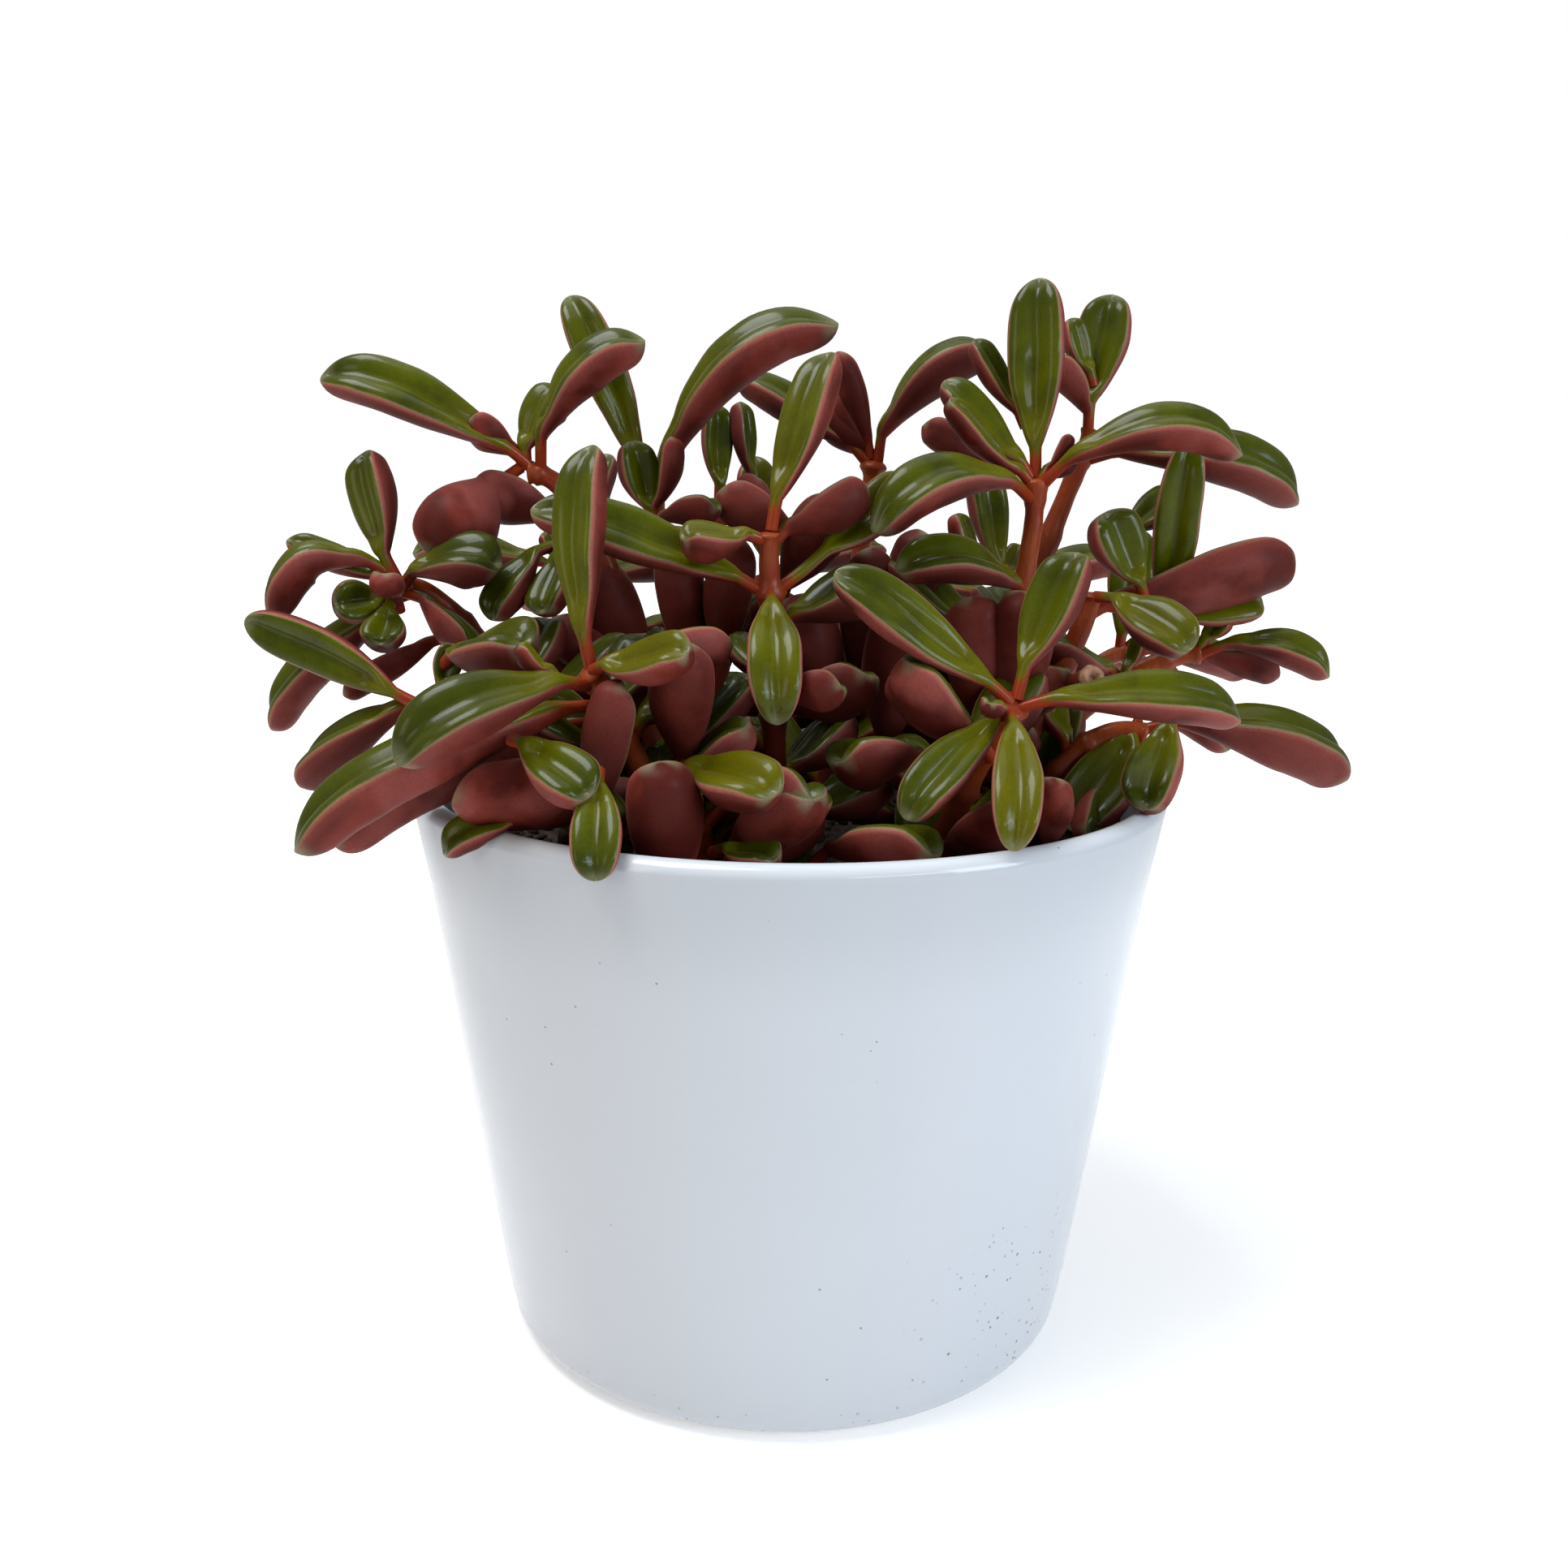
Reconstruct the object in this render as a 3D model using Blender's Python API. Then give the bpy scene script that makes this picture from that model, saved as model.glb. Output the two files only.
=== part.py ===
"""Potted peperomia: a fleshy red-backed plant in a plastic grow pot inside a glazed cover pot.

The origin is the middle of the cover pot's underside, +Z is up and -Y is the plant's front.
Every stem stands in its own hole in the soil, and every leaf ends a hair short of its stem.
"""

import math

import bmesh
import bpy
from mathutils import Vector, noise

MM = 0.001
GAP = 0.4            # clearance between touching pieces, mm

# Cover pot, mm
POT_HEIGHT = 104.5
POT_RIM_RADIUS = 69.0
POT_BASE_RADIUS = 53.5
POT_WALL = 4.5
POT_FLOOR = 6.0
POT_FOOT_ROUND = 6.0
POT_INSIDE_ROUND = 8.0
POT_SIDES = 64

# Grow pot, mm
GROW_POT_BASE_RADIUS = 43.0
GROW_POT_TOP_RADIUS = 58.5
GROW_POT_RIM_RADIUS = 61.0
GROW_POT_TOP = 98.0
GROW_POT_WALL = 1.2
GROW_POT_HOLES = 6
GROW_POT_HOLE_RADIUS = 4.0
GROW_POT_HOLE_REACH = 0.66     # how far out the holes are, as a share of the base
GROW_POT_RIM_HEIGHT = 4.0
GROW_POT_EDGE = 0.6
GROW_POT_SIDES = 48

# Soil, mm
SOIL_TOP = 91.0
SOIL_DOME = 2.0
SOIL_LUMP = 0.8
PLANTED_DEPTH = 9.0
HOLE_CLEARANCE = 0.7
SOIL_SIDES = 32
SOIL_SIDE_GAP = 0.3

# Plant, mm
STEM_FOOT_RADIUS = 2.2
STEM_TOP_RADIUS = 1.5
STEM_SIDES = 6
STEM_RINGS = 8
LEAF_SIDES = 8
LEAF_RINGS = 9
PETIOLE_RADIUS = 0.9
PETIOLE_SHARE = 0.16
BLADE_WIDEST = 0.6
BLADE_RISE = 0.9          # power of the slow swell from the petiole
BLADE_BLUNTNESS = 2.4     # power of the round tip
KEEL_SHARE = 0.62         # depth of the back as a share of the blade's width
EDGE_LIFT = 0.25          # how far the edges of the face stand up, as a share of half the width
FOLD_DEPTH = 0.35         # how far the middle of the face is folded down
ARCH_START = 0.35         # first bend of a leaf's back, as a share of its length
ARCH_END = 0.7
ARCH_LIFT_START = 0.9     # share of the arch reached at each bend
ARCH_LIFT_END = 1.3
FACE_UP = Vector((0, -0.35, 1))

# Shoots: name, foot on the soil, elbow half-way up, growing tip, and leaves.
# A leaf: height up its stem from 0 to 1, its own tip, blade width, arch of its back, and
# roll about its length in degrees, where 0 turns its face up and a little to the front.
SHOOTS = (
    ("centre", (-2, -14), (-3, -21, 122), (-4, -25, 150), (
        (1.00, (5, -15, 181), 9, 3, -20),
        (0.79, (-43, -27, 155), 9.5, 3, -28),
        (0.79, (-2, -47, 121), 8.5, 8, 0),
    )),
    ("front_left", (-16, -24), (-25, -34, 112), (-32, -42, 129), (
        (0.97, (-33, -33, 165), 9, 5, -42),
        (0.90, (-60, -60, 118), 11.5, 9, -10),
        (0.78, (-79, -52, 103), 12.5, 9, 8),
    )),
    ("far_left", (-30, 0), (-55, -3, 126), (-69, -10, 139), (
        (1.00, (-77, -6, 163), 9.5, 2, -70),
        (0.95, (-93, -16, 134), 10, 13, 12),
    )),
    ("low_left", (-32, -14), (-47, -20, 115), (-62, -27, 120), (
        (1.00, (-92, -25, 134), 7.8, -2, -75),
        (0.90, (-87, -20, 106), 10.5, 6, 2),
    )),
    ("upper_left", (-22, 3), (-33, 1, 140), (-48, 0, 159), (
        (0.98, (-84, -4, 177), 10, 7, -28),
        (0.93, (-26, -6, 184), 11, 9, 5),
    )),
    ("tall_left", (-12, 14), (-20, 12, 130), (-27, 8, 156), (
        (0.98, (-42, 12, 192), 8, 5, -40),
        (0.92, (8, 0, 188), 12.5, 14, 2),
    )),
    ("back_middle", (6, 24), (12, 27, 130), (16, 28, 162), (
        (0.97, (-11, 30, 179), 9, 4, 0),
        (0.97, (38, 24, 186), 12.5, 9, -18),
    )),
    ("tall_right", (20, 0), (38, -4, 126), (43, -5, 159), (
        (1.00, (42, -2, 194), 10, 2, -28),
        (0.97, (79, -12, 165), 10, 12, 8),
        (0.93, (12, -24, 151), 10.5, 12, -10),
    )),
    ("back_right", (26, 18), (46, 16, 138), (57, 18, 168), (
        (0.99, (60, 22, 194), 10, 1, -10),
        (0.86, (99, 15, 156), 12.5, 11, 12),
    )),
    ("right", (34, 4), (54, 4, 115), (77, 4, 127), (
        (0.86, (71, -2, 166), 8, 1, -5),
        (0.98, (100, -4, 125), 8.5, 7, 5),
    )),
    ("right_middle", (28, -8), (47, -6, 120), (54, -6, 139), (
        (0.97, (68, -25, 132), 10, 4, 18),
    )),
    ("front_right", (22, -22), (30, -32, 110), (36, -40, 124), (
        (0.97, (7, -42, 146), 9, 3, -30),
        (1.00, (45, -34, 149), 9.5, 2, -15),
        (0.96, (74, -38, 123), 9.5, 7, 12),
        (0.92, (33, -64, 106), 7.5, 6, 0),
    )),
    ("low_right", (36, -12), (50, -11, 109), (64, -11, 114), (
        (0.97, (102, -14, 109), 14.5, 9, -8),
    )),
    ("front_low", (-10, -34), (-14, -39, 100), (-18, -43, 114), (
        (0.75, (-54, -48, 111), 13.5, 5, 60),
        (0.60, (6, -53, 113), 14, 5, -50),
    )),
    ("back_left", (-24, 28), (-38, 38, 118), (-48, 46, 138), (
        (0.98, (-80, 40, 144), 10, 5, 0),
        (0.98, (-40, 50, 164), 9, 3, 0),
        (0.90, (-62, 76, 130), 10, 6, 0),
    )),
    ("back_centre", (-2, 38), (-4, 50, 116), (-6, 58, 137), (
        (0.98, (-8, 52, 163), 9, 3, 0),
        (0.90, (-10, 88, 126), 10, 6, 0),
    )),
    ("back_corner", (28, 34), (38, 46, 116), (46, 52, 136), (
        (0.98, (74, 62, 142), 10, 5, 0),
        (0.90, (50, 84, 122), 10, 6, 0),
    )),
    ("far_right", (40, 19), (54, 24, 113), (68, 28, 124), (
        (0.98, (97, 38, 120), 9.5, 6, 0),
    )),
)


def fresh_object(name, bm, color, roughness, metallic=0.0):
    """Turn a bmesh in millimetres into a named object in metres with its own material."""
    bmesh.ops.scale(bm, verts=bm.verts, vec=(MM, MM, MM))
    bmesh.ops.recalc_face_normals(bm, faces=bm.faces)
    mesh = bpy.data.meshes.new(name)
    bm.to_mesh(mesh)
    bm.free()
    mesh.shade_smooth()
    mesh.set_sharp_from_angle(angle=math.radians(50))
    material = bpy.data.materials.new(name)
    material.use_nodes = True
    shader = material.node_tree.nodes["Principled BSDF"]
    shader.inputs["Base Color"].default_value = (*color, 1)
    shader.inputs["Roughness"].default_value = roughness
    shader.inputs["Metallic"].default_value = metallic
    mesh.materials.append(material)
    obj = bpy.data.objects.new(name, mesh)
    bpy.context.scene.collection.objects.link(obj)
    return obj


def arc(center, radius, start, end, steps):
    """Points in a turned profile's (radius, height) plane along one rounded stretch."""
    points = []
    for step in range(steps + 1):
        angle = math.radians(start + (end - start) * step / steps)
        points.append((center[0] + radius * math.cos(angle), center[1] + radius * math.sin(angle)))
    return points


def turned(profile, sides):
    """A closed body of revolution from an outline whose two ends lie on the axis."""
    bm = bmesh.new()
    verts = [bm.verts.new((radius, 0, height)) for radius, height in profile]
    edges = [bm.edges.new(pair) for pair in zip(verts, verts[1:])]
    bmesh.ops.spin(
        bm, geom=verts + edges, cent=(0, 0, 0), axis=(0, 0, 1),
        angle=math.tau, steps=sides, use_merge=True)
    bmesh.ops.remove_doubles(bm, verts=bm.verts, dist=0.001)
    return bm


def pot_radius(height):
    """Outer radius of the cover pot's straight tapering side."""
    return POT_BASE_RADIUS + (POT_RIM_RADIUS - POT_BASE_RADIUS) * height / POT_HEIGHT


def grow_pot_radius(height):
    """Outer radius of the grow pot's wall."""
    share = (height - POT_FLOOR) / (GROW_POT_TOP - POT_FLOOR)
    return GROW_POT_BASE_RADIUS + (GROW_POT_TOP_RADIUS - GROW_POT_BASE_RADIUS) * share


def make_pot():
    lip = POT_WALL / 2
    foot = (pot_radius(POT_FOOT_ROUND) - POT_FOOT_ROUND, POT_FOOT_ROUND)
    corner = POT_FLOOR + POT_INSIDE_ROUND
    inside = (pot_radius(corner) - POT_WALL - POT_INSIDE_ROUND, corner)
    profile = [(0, 0)]
    profile += arc(foot, POT_FOOT_ROUND, -90, -5, 4)
    profile += arc((POT_RIM_RADIUS - lip, POT_HEIGHT - lip), lip, 0, 180, 6)
    profile += arc(inside, POT_INSIDE_ROUND, 0, -90, 3)
    profile.append((0, POT_FLOOR))
    fresh_object("pot", turned(profile, POT_SIDES), (0.72, 0.76, 0.82), 0.12)


def make_grow_pot():
    bottom = POT_FLOOR + GAP
    top = GROW_POT_TOP
    wall = GROW_POT_WALL
    profile = [
        (0, bottom),
        (GROW_POT_BASE_RADIUS - 2, bottom),
        (GROW_POT_BASE_RADIUS, bottom + 2),
        (grow_pot_radius(top - GROW_POT_RIM_HEIGHT - 1), top - GROW_POT_RIM_HEIGHT - 1),
        (GROW_POT_RIM_RADIUS, top - GROW_POT_RIM_HEIGHT),
        (GROW_POT_RIM_RADIUS, top - GROW_POT_EDGE),
        (GROW_POT_RIM_RADIUS - GROW_POT_EDGE, top),
        (GROW_POT_TOP_RADIUS - wall, top),
        (GROW_POT_BASE_RADIUS - wall, bottom + wall + 1),
        (GROW_POT_BASE_RADIUS - wall - 1, bottom + wall),
        (0, bottom + wall),
    ]
    pot = fresh_object("grow_pot", turned(profile, GROW_POT_SIDES), (0.1, 0.04, 0.03), 0.5)
    bm = bmesh.new()
    for hole in range(GROW_POT_HOLES):
        angle = math.tau * (hole + 0.5) / GROW_POT_HOLES
        reach = GROW_POT_BASE_RADIUS * GROW_POT_HOLE_REACH
        drill = bmesh.ops.create_cone(
            bm, cap_ends=True, segments=12, radius1=GROW_POT_HOLE_RADIUS,
            radius2=GROW_POT_HOLE_RADIUS, depth=4)["verts"]
        bmesh.ops.translate(
            bm, verts=drill, vec=(reach * math.cos(angle), reach * math.sin(angle), bottom))
    cut(pot, fresh_object("grow_pot_drill", bm, (1, 1, 1), 1))


def cut(target, cutter):
    """Take the cutter's space out of the target; the cutter stays as a hidden guide."""
    cutter.hide_render = True
    cutter.display_type = "WIRE"
    boolean = target.modifiers.new("cut", "BOOLEAN")
    boolean.object = cutter
    boolean.operation = "DIFFERENCE"
    boolean.solver = "EXACT"


def soil_height(x, y):
    """The crumbly top of the soil: a low dome with lumps."""
    radius = math.hypot(x, y) / GROW_POT_TOP_RADIUS
    lump = noise.noise(Vector((x, y, 0)) * 0.13)
    return SOIL_TOP + SOIL_DOME * (1 - radius * radius) + SOIL_LUMP * lump


def make_soil():
    bottom = POT_FLOOR + GAP + GROW_POT_WALL + GAP
    clear = GROW_POT_WALL + GAP + SOIL_SIDE_GAP
    edge = grow_pot_radius(SOIL_TOP) - clear
    profile = [(0, bottom), (GROW_POT_BASE_RADIUS - clear - 1, bottom)]
    profile += [(edge * share, SOIL_TOP) for share in (1, 0.8, 0.6, 0.4, 0.2)]
    profile.append((0, SOIL_TOP))
    bm = turned(profile, SOIL_SIDES)
    for vert in bm.verts:
        if vert.co.z > SOIL_TOP - 1:
            vert.co.z = soil_height(vert.co.x, vert.co.y)
    soil = fresh_object("soil", bm, (0.05, 0.03, 0.02), 0.95)
    for shoot in SHOOTS:
        hole = stem_form(shoot, HOLE_CLEARANCE)
        cut(soil, fresh_object("soil_hole_" + shoot[0], hole, (1, 1, 1), 1))


def stem_point(shoot, share):
    """A point on the stem's middle line, which passes through the elbow half-way up."""
    foot = Vector((*shoot[1], SOIL_TOP - PLANTED_DEPTH))
    elbow = Vector(shoot[2])
    top = Vector(shoot[3])
    control = elbow * 2 - (foot + top) / 2
    return foot.lerp(control, share).lerp(control.lerp(top, share), share)


def stem_direction(shoot, share):
    ahead = stem_point(shoot, min(share + 0.01, 1))
    behind = stem_point(shoot, max(share - 0.01, 0))
    return (ahead - behind).normalized()


def stem_radius(share):
    return STEM_FOOT_RADIUS + (STEM_TOP_RADIUS - STEM_FOOT_RADIUS) * share


def drawn_out(sides, rings, place):
    """A ball of rings drawn out into a long form: place(along, around) gives each point."""
    bm = bmesh.new()
    bmesh.ops.create_uvsphere(bm, u_segments=sides, v_segments=rings, radius=1)
    for vert in bm.verts:
        along = (1 - max(-1, min(1, vert.co.z))) / 2
        around = math.atan2(vert.co.y, vert.co.x)
        vert.co = place(along, around)
    return bm


def end_taper(along):
    """0 at both ends of a drawn-out form, 1 everywhere between its last rings."""
    return 0 if along < 0.001 or along > 0.999 else 1


def stem_form(shoot, extra=0.0):
    """A stem from its foot in the soil to its growing tip, made thicker by extra."""
    def place(along, around):
        axis = stem_direction(shoot, along)
        side = axis.cross(Vector((0, 1, 0))).normalized()
        front = axis.cross(side)
        radius = (stem_radius(along) + extra) * end_taper(along)
        middle = stem_point(shoot, along)
        if along < 0.001:
            middle = middle - axis * extra
        return middle + side * radius * math.cos(around) + front * radius * math.sin(around)
    return drawn_out(STEM_SIDES, STEM_RINGS, place)


def blade_swell(blade):
    """Share of the full width along the blade: a slow rise, then a blunt round tip."""
    if blade < BLADE_WIDEST:
        return math.sin(math.pi / 2 * blade / BLADE_WIDEST) ** BLADE_RISE
    rest = (blade - BLADE_WIDEST) / (1 - BLADE_WIDEST)
    return math.sqrt(max(0, 1 - rest ** BLADE_BLUNTNESS))


def leaf_form(shoot, leaf):
    """A boat-shaped leaf: a petiole, then a folded blade with a deep round keel."""
    height, tip, width, arch, roll = leaf
    tip = Vector(tip)
    stem_middle = stem_point(shoot, height)
    axis = stem_direction(shoot, height)
    outward = (tip - stem_middle) - axis * (tip - stem_middle).dot(axis)
    outward.normalize()
    base = stem_middle + outward * (stem_radius(height) + GAP)
    chord = tip - base
    length = chord.length
    chord.normalize()
    face = (FACE_UP - chord * FACE_UP.dot(chord)).normalized()
    turn = math.radians(roll)
    face = face * math.cos(turn) + chord.cross(face) * math.sin(turn)
    across = chord.cross(face)
    first = base + chord * length * ARCH_START + face * arch * ARCH_LIFT_START
    second = base + chord * length * ARCH_END + face * arch * ARCH_LIFT_END

    def place(along, around):
        start = base.lerp(first, along)
        middle = first.lerp(second, along)
        end = second.lerp(tip, along)
        near = start.lerp(middle, along)
        far = middle.lerp(end, along)
        spine = near.lerp(far, along)
        heading = (far - near).normalized()
        upward = across.cross(heading)
        blade = max(0, (along - PETIOLE_SHARE) / (1 - PETIOLE_SHARE))
        swell = blade_swell(blade)
        half = (PETIOLE_RADIUS * (1 - blade) + (width / 2) * swell) * end_taper(along)
        keel = (PETIOLE_RADIUS * (1 - blade) + KEEL_SHARE * width * swell) * end_taper(along)
        side = math.cos(around)
        rise = math.sin(around)
        if rise >= 0:
            lift = half * (EDGE_LIFT * rise * abs(side) - FOLD_DEPTH * (1 - abs(side)) ** 2)
            if blade == 0:
                lift = half * rise
        else:
            lift = keel * rise
        return spine + across * half * side + upward * lift
    return drawn_out(LEAF_SIDES, LEAF_RINGS, place)


for old in list(bpy.data.objects):
    bpy.data.objects.remove(old, do_unlink=True)

make_pot()
make_grow_pot()
make_soil()
for shoot in SHOOTS:
    fresh_object("stem_" + shoot[0], stem_form(shoot), (0.3, 0.06, 0.04), 0.4)
    for number, leaf in enumerate(shoot[4], 1):
        name = f"leaf_{shoot[0]}_{number}"
        fresh_object(name, leaf_form(shoot, leaf), (0.16, 0.1, 0.05), 0.35)
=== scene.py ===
"""Potted peperomia: the visual model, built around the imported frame.

Sizes are in millimetres until a mesh is finished, and -Y is the plant's front.
"""

import math
import random

import bmesh
import bpy
from mathutils import Matrix, Vector, noise


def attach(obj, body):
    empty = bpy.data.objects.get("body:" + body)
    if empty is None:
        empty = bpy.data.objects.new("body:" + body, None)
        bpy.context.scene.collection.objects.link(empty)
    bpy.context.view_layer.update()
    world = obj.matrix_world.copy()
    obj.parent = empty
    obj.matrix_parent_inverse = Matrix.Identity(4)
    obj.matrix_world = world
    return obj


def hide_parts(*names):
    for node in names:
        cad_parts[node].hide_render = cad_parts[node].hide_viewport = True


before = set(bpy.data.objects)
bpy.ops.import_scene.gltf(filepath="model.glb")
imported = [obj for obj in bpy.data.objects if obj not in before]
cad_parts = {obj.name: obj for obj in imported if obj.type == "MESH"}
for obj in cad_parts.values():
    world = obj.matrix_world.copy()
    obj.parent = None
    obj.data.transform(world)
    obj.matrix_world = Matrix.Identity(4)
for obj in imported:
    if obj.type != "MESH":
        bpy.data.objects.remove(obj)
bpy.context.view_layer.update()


# Cover pot: a cast stoneware cover pot with a straight tapering side, a rolled lip and a
# round foot edge. It is dipped in a pale blue-white gloss glaze, and wiped bare underneath.
MM = 0.001
POT_HEIGHT = 104.5
POT_RIM_RADIUS = 69.0
POT_BASE_RADIUS = 53.5
POT_WALL = 4.5
POT_FLOOR = 6.0
POT_FOOT_ROUND = 6.0
POT_INNER_ROUND = 8.0
POT_FOOT_FLAT = 30.0
POT_FLOOR_FLAT = 20.0
POT_SIDE_RINGS = (0.12, 0.25, 0.4, 0.55, 0.7, 0.85)
POT_TURNS = 180
GLAZE = (0.475, 0.495, 0.53)
GLAZE_THICK_SHARE = 0.97
# Painted shade: the grey of the band below the lip, where the leaves shade the pot.
GLAZE_UNDER_LIP_SHADE = (0.40, 0.42, 0.45)
GLAZE_THIN = (0.60, 0.63, 0.66)
BARE_CLAY = (0.62, 0.57, 0.50)
PINHOLE = (0.10, 0.09, 0.08)
PINHOLES_PER_METRE = 230.0
GRIT_PER_METRE = 520.0
GRIT_PATCH = (0.040, -0.040, 0.014)


def piece_from(bm, name, slot, material, *nodes):
    """Turn a bmesh in millimetres into a finished piece in metres that rides on the body."""
    bmesh.ops.scale(bm, verts=bm.verts, vec=(MM, MM, MM))
    bmesh.ops.recalc_face_normals(bm, faces=bm.faces)
    mesh = bpy.data.meshes.new(name)
    bm.to_mesh(mesh)
    bm.free()
    mesh.shade_smooth()
    mesh.materials.append(material)
    piece = bpy.data.objects.new(name, mesh)
    bpy.context.scene.collection.objects.link(piece)
    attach(piece, "root")
    if nodes:
        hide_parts(*nodes)
    return piece


def arc(center, radius, start, end, steps):
    """Points in a turned profile's (radius, height) plane along one rounded stretch."""
    points = []
    for step in range(steps + 1):
        angle = math.radians(start + (end - start) * step / steps)
        points.append((center[0] + radius * math.cos(angle), center[1] + radius * math.sin(angle)))
    return points


def turned(profile, turns):
    """A body of revolution from an outline, closed where the outline's ends lie on the axis."""
    bm = bmesh.new()
    verts = [bm.verts.new((radius, 0, height)) for radius, height in profile]
    edges = [bm.edges.new(pair) for pair in zip(verts, verts[1:])]
    bmesh.ops.spin(
        bm, geom=verts + edges, cent=(0, 0, 0), axis=(0, 0, 1),
        angle=math.tau, steps=turns, use_merge=True)
    bmesh.ops.remove_doubles(bm, verts=bm.verts, dist=0.001)
    return bm


def new_material(name, roughness):
    material = bpy.data.materials.new(name)
    material.use_nodes = True
    shader = material.node_tree.nodes["Principled BSDF"]
    shader.inputs["Roughness"].default_value = roughness
    return material, material.node_tree, shader


def node_in(tree, kind, inputs=None, **settings):
    """Add a node, set its own settings, then its inputs: a value, or a socket to join."""
    node = tree.nodes.new(kind)
    for name, value in settings.items():
        setattr(node, name, value)
    for name, value in (inputs or {}).items():
        if isinstance(value, bpy.types.NodeSocket):
            tree.links.new(value, node.inputs[name])
        else:
            node.inputs[name].default_value = value
    return node


def object_place(tree, stretch=(1, 1, 1)):
    """Object coordinates, squeezed or stretched along each axis."""
    place = node_in(tree, "ShaderNodeTexCoord").outputs["Object"]
    return node_in(tree, "ShaderNodeMapping", {"Vector": place, "Scale": stretch}).outputs["Vector"]


def spread(tree, value, low, high, to_low=0.0, to_high=1.0):
    """Ease a value over to_low to to_high as it goes from low to high, and hold it outside."""
    return node_in(tree, "ShaderNodeMapRange", {
        "Value": value, "From Min": low, "From Max": high,
        "To Min": to_low, "To Max": to_high}, interpolation_type="SMOOTHSTEP").outputs["Result"]


def new_mottle_group():
    """The cloudy unevenness that every finish here has: soft noise, and a mask cut from it."""
    group = bpy.data.node_groups.new("mottle", "ShaderNodeTree")
    group.interface.new_socket("Place", in_out="INPUT", socket_type="NodeSocketVector")
    for name in ("Scale", "Detail", "Roughness", "Low", "High", "At Low", "At High"):
        group.interface.new_socket(name, in_out="INPUT", socket_type="NodeSocketFloat")
    for name in ("Cloud", "Mask"):
        group.interface.new_socket(name, in_out="OUTPUT", socket_type="NodeSocketFloat")
    given = group.nodes.new("NodeGroupInput").outputs
    cloud = node_in(group, "ShaderNodeTexNoise", {
        "Vector": given["Place"], "Scale": given["Scale"],
        "Detail": given["Detail"], "Roughness": given["Roughness"]}).outputs["Fac"]
    mask = spread(group, cloud, given["Low"], given["High"], given["At Low"], given["At High"])
    node_in(group, "NodeGroupOutput", {"Cloud": cloud, "Mask": mask})
    return group


mottle_group = new_mottle_group()


def mottle(tree, place, scale, detail=4.0, rough=0.5):
    """Cloudy noise from the shared group, as a height or for several masks."""
    return node_in(tree, "ShaderNodeGroup", node_tree=mottle_group, inputs={
        "Place": place, "Scale": scale, "Detail": detail, "Roughness": rough}).outputs["Cloud"]


def patches(tree, place, scale, detail, rough, low, high, at_low=0.0, at_high=1.0):
    """Soft-edged patches from the shared group, where its noise passes from low to high."""
    return node_in(tree, "ShaderNodeGroup", node_tree=mottle_group, inputs={
        "Place": place, "Scale": scale, "Detail": detail, "Roughness": rough,
        "Low": low, "High": high, "At Low": at_low, "At High": at_high}).outputs["Mask"]


def multiplied(tree, first, second):
    node = node_in(tree, "ShaderNodeMath", operation="MULTIPLY")
    for socket, value in zip(node.inputs, (first, second)):
        if isinstance(value, bpy.types.NodeSocket):
            tree.links.new(value, socket)
        else:
            socket.default_value = value
    return node.outputs["Value"]


def blended(tree, share, first, second, mode="MIX"):
    """Colour one, going to colour two as the share goes from 0 to 1."""
    node = node_in(tree, "ShaderNodeMix", data_type="RGBA", blend_type=mode)
    for socket, value in zip((node.inputs[0], node.inputs[6], node.inputs[7]), (share, first, second)):
        if isinstance(value, bpy.types.NodeSocket):
            tree.links.new(value, socket)
        elif isinstance(value, tuple):
            socket.default_value = (*value, 1)
        else:
            socket.default_value = value
    return node.outputs[2]


def raised(tree, height, distance, strength=1.0, under=None):
    inputs = {"Height": height, "Distance": distance, "Strength": strength}
    if under:
        inputs["Normal"] = under
    return node_in(tree, "ShaderNodeBump", inputs).outputs["Normal"]


def pot_radius(height):
    """Outer radius of the cover pot's straight tapering side."""
    return POT_BASE_RADIUS + (POT_RIM_RADIUS - POT_BASE_RADIUS) * height / POT_HEIGHT


lip = POT_WALL / 2
foot_middle = (POT_BASE_RADIUS - POT_FOOT_ROUND + 0.5, POT_FOOT_ROUND)
inner_middle = (pot_radius(14) - POT_WALL - POT_INNER_ROUND, POT_FLOOR + POT_INNER_ROUND)
pot_outline = [(0, 0), (POT_FOOT_FLAT, 0)]
pot_outline += arc(foot_middle, POT_FOOT_ROUND, -90, -5, 14)
for share in POT_SIDE_RINGS:
    height = POT_HEIGHT * share
    pot_outline.append((pot_radius(height), height))
pot_outline += arc((POT_RIM_RADIUS - lip, POT_HEIGHT - lip), lip, 0, 180, 16)
pot_outline += arc(inner_middle, POT_INNER_ROUND, 0, -90, 8)
pot_outline += [(POT_FLOOR_FLAT, POT_FLOOR), (0, POT_FLOOR)]

glaze, tree, shader = new_material("pale_gloss_glaze", 0.12)
place = object_place(tree)
thick_glaze = tuple(part * GLAZE_THICK_SHARE for part in GLAZE)
colour = blended(tree, patches(tree, place, 14, 2, 0.5, 0.3, 0.7), GLAZE, thick_glaze)
height_of = node_in(tree, "ShaderNodeSeparateXYZ", {"Vector": place}).outputs["Z"]
lip_share = spread(tree, height_of, 0.1015, 0.1045)
colour = blended(tree, multiplied(tree, lip_share, 0.5), colour, GLAZE_THIN)
speck = node_in(
    tree, "ShaderNodeTexVoronoi", {"Vector": place, "Scale": PINHOLES_PER_METRE}).outputs["Distance"]
few = patches(tree, place, 45, 1, 0.5, 0.50, 0.54)
pinholes = multiplied(tree, spread(tree, speck, 0.056, 0.038), few)
colour = blended(tree, multiplied(tree, pinholes, 0.75), colour, PINHOLE)
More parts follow.
